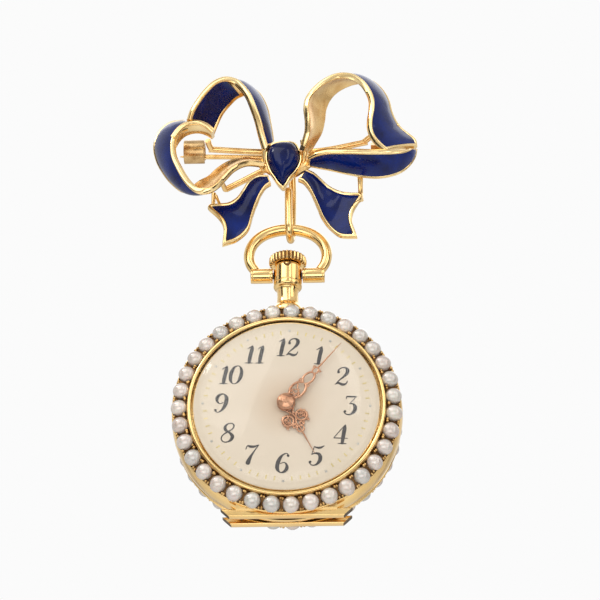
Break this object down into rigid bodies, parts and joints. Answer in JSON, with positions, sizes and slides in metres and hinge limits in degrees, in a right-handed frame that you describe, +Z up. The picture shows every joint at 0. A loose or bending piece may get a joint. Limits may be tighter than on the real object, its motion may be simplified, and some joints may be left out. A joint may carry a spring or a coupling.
{
  "type": "fob watch",
  "caption": "Pearl-set ladies' fob watch hanging from an enamelled ribbon bow brooch, with opening bezel and back, keyless crown, turning hands, train and lever escapement.",
  "frame": {"origin": "on the brooch's pin, midway along it, where the garment holds it", "axes": "+Z up towards the top of the bow (twelve o'clock of the hanging watch), -Y the way the dial faces, +X right seen from the front"},
  "size_m": [0.0348, 0.012, 0.0639],
  "materials": {
    "gold": "polished",
    "rose_gold": "polished",
    "enamel": "gloss",
    "pearl": "satin",
    "steel": "polished",
    "blued_steel": "polished",
    "gilt": "satin",
    "dial": "gloss",
    "crystal": "clear"
  },
  "bodies": {
    "brooch": {"ribbon_left_upper": "gold", "ribbon_left_lower": "gold", "ribbon_right_upper": "gold", "ribbon_right_lower": "gold", "enamel_left_upper": "enamel", "enamel_left_lower": "enamel", "enamel_right_upper": "enamel", "enamel_right_lower": "enamel", "ribbon_left_tail": "gold", "enamel_left_tail": "enamel", "ribbon_right_tail": "gold", "enamel_right_tail": "enamel", "knot_setting": "gold", "knot_cabochon": "enamel", "brooch_frame": "gold", "rear_brace": "gold", "strut_left": "gold", "strut_right": "gold", "suspension_hook": "gold", "pin_hinge": "gold", "pin_rivet": "gold", "pin_catch": "gold"},
    "pin": {"pin_stem": "gold"},
    "bow": {"bow": "gold", "bow_screw_left": "steel", "bow_screw_right": "steel"},
    "case": {"pendant": "gold", "case_band": "gold", "dial": "dial", "main_plate": "gilt", "barrel_bridge": "gilt", "train_bridge": "gilt", "balance_cock": "gilt", "click": "steel", "mainspring_barrel": "gilt"},
    "bezel": {"front_bezel": "gold", "front_pearls": "pearl", "crystal": "crystal"},
    "back": {"back_cover": "gold", "back_pearls": "pearl", "back_enamel": "enamel"},
    "cuvette": {"cuvette": "gold"},
    "sleeve": {"crown_sleeve": "steel"},
    "crown": {"crown": "gold", "winding_stem": "steel"},
    "crown_wheel": {"crown_wheel": "steel"},
    "ratchet": {"ratchet_wheel": "steel"},
    "minute": {"minute_hand": "rose_gold", "cannon_pinion": "rose_gold"},
    "hour": {"hour_hand": "rose_gold", "hour_wheel": "gilt"},
    "minute_wheel": {"minute_wheel": "gilt"},
    "centre": {"centre_wheel": "gilt"},
    "third": {"third_wheel": "gilt"},
    "fourth": {"fourth_wheel": "gilt"},
    "escape": {"escape_wheel": "steel"},
    "lever": {"pallet_lever": "steel"},
    "balance": {"balance_wheel": "gilt", "hairspring": "blued_steel"}
  },
  "joints": [
    {"name": "pin_swing", "type": "hinge", "parent": "brooch", "child": "pin", "pos_m": [0.0119, 0, 0.00055], "axis": [0, -0.7071, -0.7071], "range_deg": [0, 65]},
    {"name": "bow_swing", "type": "hinge", "parent": "brooch", "child": "bow", "pos_m": [0, -0.0014, -0.01195], "axis": [1, 0, 0], "range_deg": [-35, 15]},
    {"name": "watch_swing", "type": "hinge", "parent": "bow", "child": "case", "pos_m": [0, -0.0014, -0.0189], "axis": [1, 0, 0], "range_deg": [-55, 55]},
    {"name": "bezel_open", "type": "hinge", "parent": "case", "child": "bezel", "pos_m": [0, -0.00295, -0.05328], "axis": [1, 0, 0], "range_deg": [0, 100]},
    {"name": "back_open", "type": "hinge", "parent": "case", "child": "back", "pos_m": [0, -0.00055, -0.05328], "axis": [-1, 0, 0], "range_deg": [0, 100]},
    {"name": "cuvette_open", "type": "hinge", "parent": "case", "child": "cuvette", "pos_m": [0, 0.0007, -0.0514], "axis": [-1, 0, 0], "range_deg": [0, 80]},
    {"name": "crown_pull", "type": "slide", "parent": "case", "child": "sleeve", "axis": [0, 0, 1], "range_m": [0, 0.0006]},
    {"name": "crown_turn", "type": "hinge", "parent": "sleeve", "child": "crown", "pos_m": [0, -0.0014, -0.0189], "axis": [0, 0, 1], "continuous": true},
    {"name": "crown_wheel_turn", "type": "hinge", "parent": "case", "child": "crown_wheel", "pos_m": [0.0009, -0.002, -0.0323], "axis": [0, 1, 0], "continuous": true},
    {"name": "ratchet_turn", "type": "hinge", "parent": "case", "child": "ratchet", "pos_m": [-0.0038, -0.002, -0.03546], "axis": [0, 1, 0], "continuous": true},
    {"name": "minute_turn", "type": "hinge", "parent": "case", "child": "minute", "pos_m": [0, -0.002, -0.0393], "axis": [0, 1, 0], "continuous": true},
    {"name": "hour_turn", "type": "hinge", "parent": "case", "child": "hour", "pos_m": [0, -0.002, -0.0393], "axis": [0, 1, 0], "continuous": true},
    {"name": "minute_wheel_turn", "type": "hinge", "parent": "case", "child": "minute_wheel", "pos_m": [0.00218, -0.002, -0.0391], "axis": [0, 1, 0], "continuous": true},
    {"name": "centre_turn", "type": "hinge", "parent": "case", "child": "centre", "pos_m": [0, -0.002, -0.0393], "axis": [0, 1, 0], "continuous": true},
    {"name": "third_turn", "type": "hinge", "parent": "case", "child": "third", "pos_m": [0.003, -0.002, -0.0412], "axis": [0, 1, 0], "continuous": true},
    {"name": "fourth_turn", "type": "hinge", "parent": "case", "child": "fourth", "pos_m": [0.00155, -0.002, -0.0437], "axis": [0, 1, 0], "continuous": true},
    {"name": "escape_turn", "type": "hinge", "parent": "case", "child": "escape", "pos_m": [-0.0009, -0.002, -0.0444], "axis": [0, 1, 0], "continuous": true},
    {"name": "lever_rock", "type": "hinge", "parent": "case", "child": "lever", "pos_m": [-0.0029, -0.002, -0.0438], "axis": [0, 1, 0], "range_deg": [-8, 8]},
    {"name": "balance_swing", "type": "hinge", "parent": "case", "child": "balance", "pos_m": [-0.0056, -0.002, -0.0426], "axis": [0, 1, 0], "range_deg": [-135, 135]}
  ],
  "couplings": [
    {"joint": "cuvette_open", "follows": "back_open", "ratio": 0.8},
    {"joint": "crown_wheel_turn", "follows": "crown_turn", "ratio": -0.27},
    {"joint": "ratchet_turn", "follows": "crown_turn", "ratio": 0.2025},
    {"joint": "hour_turn", "follows": "minute_turn", "ratio": 0.083333},
    {"joint": "minute_wheel_turn", "follows": "minute_turn", "ratio": -0.4},
    {"joint": "third_turn", "follows": "fourth_turn", "ratio": -0.13333},
    {"joint": "centre_turn", "follows": "fourth_turn", "ratio": 0.016667},
    {"joint": "escape_turn", "follows": "fourth_turn", "ratio": -10}
  ]
}
